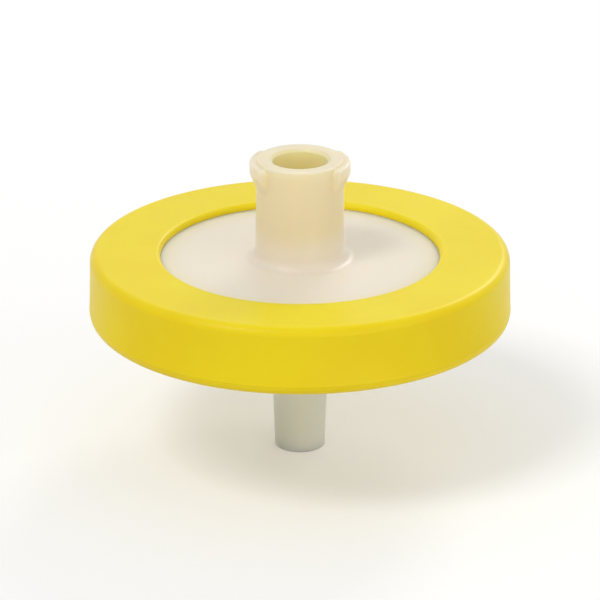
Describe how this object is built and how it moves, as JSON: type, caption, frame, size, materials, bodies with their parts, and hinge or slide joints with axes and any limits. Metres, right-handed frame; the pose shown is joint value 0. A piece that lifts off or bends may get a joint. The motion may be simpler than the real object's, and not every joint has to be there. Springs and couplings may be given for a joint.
{
  "type": "syringe filter",
  "caption": "Disposable syringe filter: membrane clamped in a plastic housing under a yellow overmoulded ring, with a female Luer lock inlet and a male Luer slip outlet.",
  "frame": {"origin": "centre of the outlet tip's flat end, on which the filter stands", "axes": "+Z along the common axis from the outlet tip to the inlet port; X runs through the inlet port's two lugs; the ring's gate stub is on the +Y side"},
  "size_m": [0.033, 0.0333, 0.024],
  "materials": {
    "natural_plastic": "frosted, milky translucent polypropylene",
    "yellow_plastic": "satin gloss, bright yellow polypropylene",
    "membrane_sheet": "matt white porous polyethersulfone sheet"
  },
  "bodies": {
    "root": {"inlet_housing": "natural_plastic", "membrane": "membrane_sheet", "outlet_housing": "natural_plastic", "outer_ring": "yellow_plastic"}
  },
  "joints": []
}
